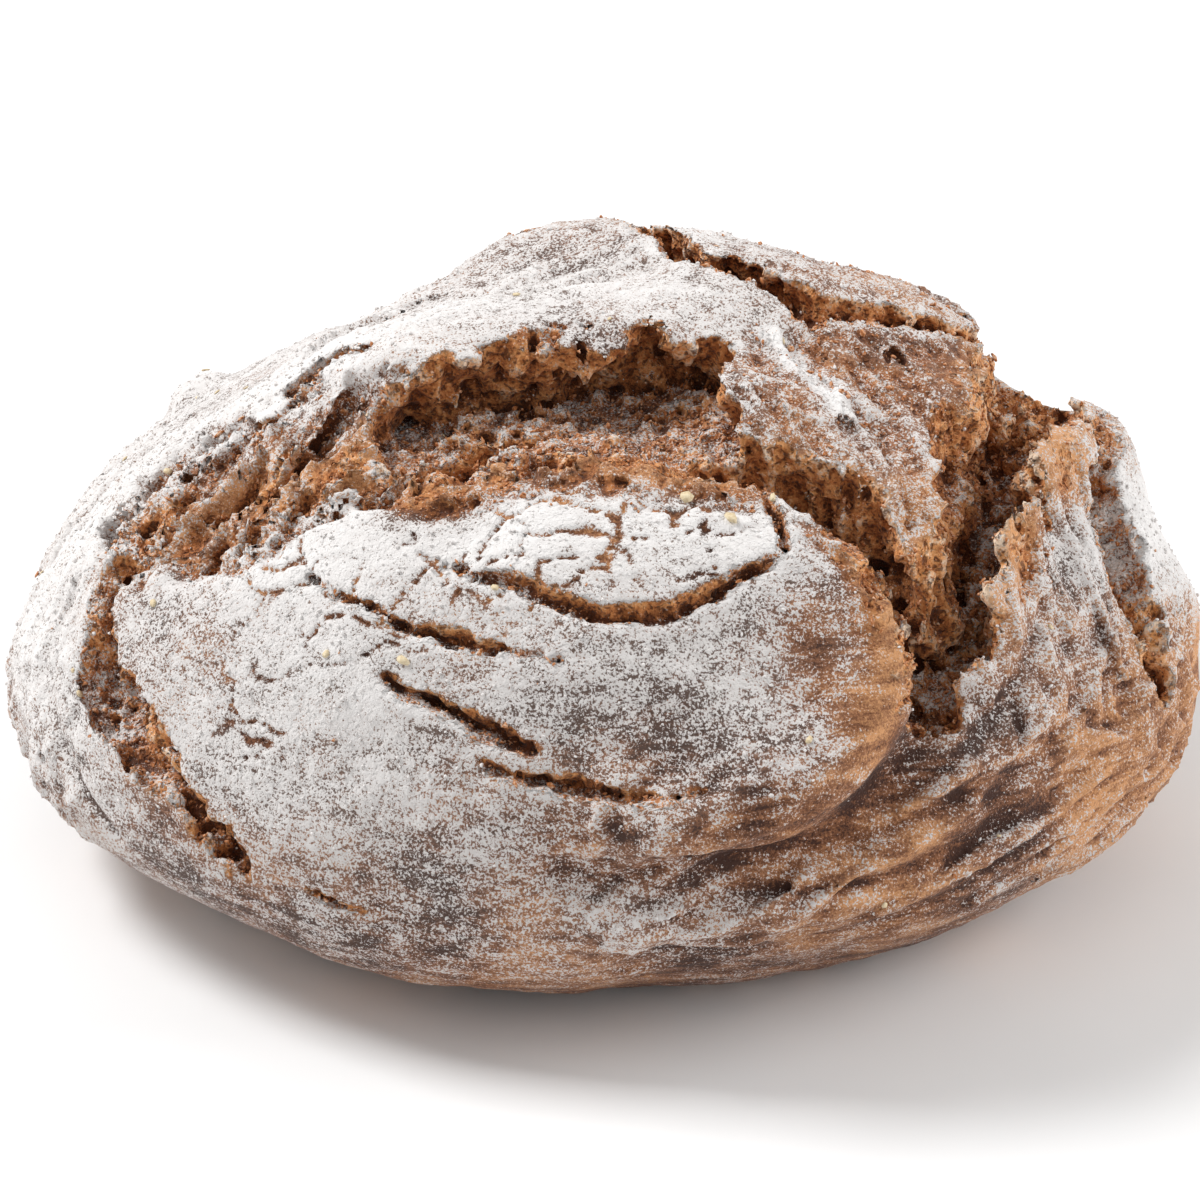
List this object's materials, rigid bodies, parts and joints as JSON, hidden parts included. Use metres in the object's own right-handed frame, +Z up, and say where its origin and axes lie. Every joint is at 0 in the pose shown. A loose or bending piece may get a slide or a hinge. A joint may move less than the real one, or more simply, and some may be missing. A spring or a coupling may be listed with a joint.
{
  "type": "rye bread loaf",
  "caption": "Round rustic rye loaf, flour-dusted, whose crust burst into lobes, slabs and deep torn splits as it baked.",
  "frame": {"origin": "centre of the flat base, midway across the loaf's width and depth", "axes": "+X along the loaf's longest side, towards the deep split on the right, +Y from the big front lobe towards the back, +Z up"},
  "size_m": [0.2396, 0.2104, 0.1195],
  "materials": {
    "crust": "dry baked crust, thickly dusted with pale flour, bare and coarse where it tore"
  },
  "bodies": {
    "root": {"rye_loaf": "crust"}
  },
  "joints": []
}
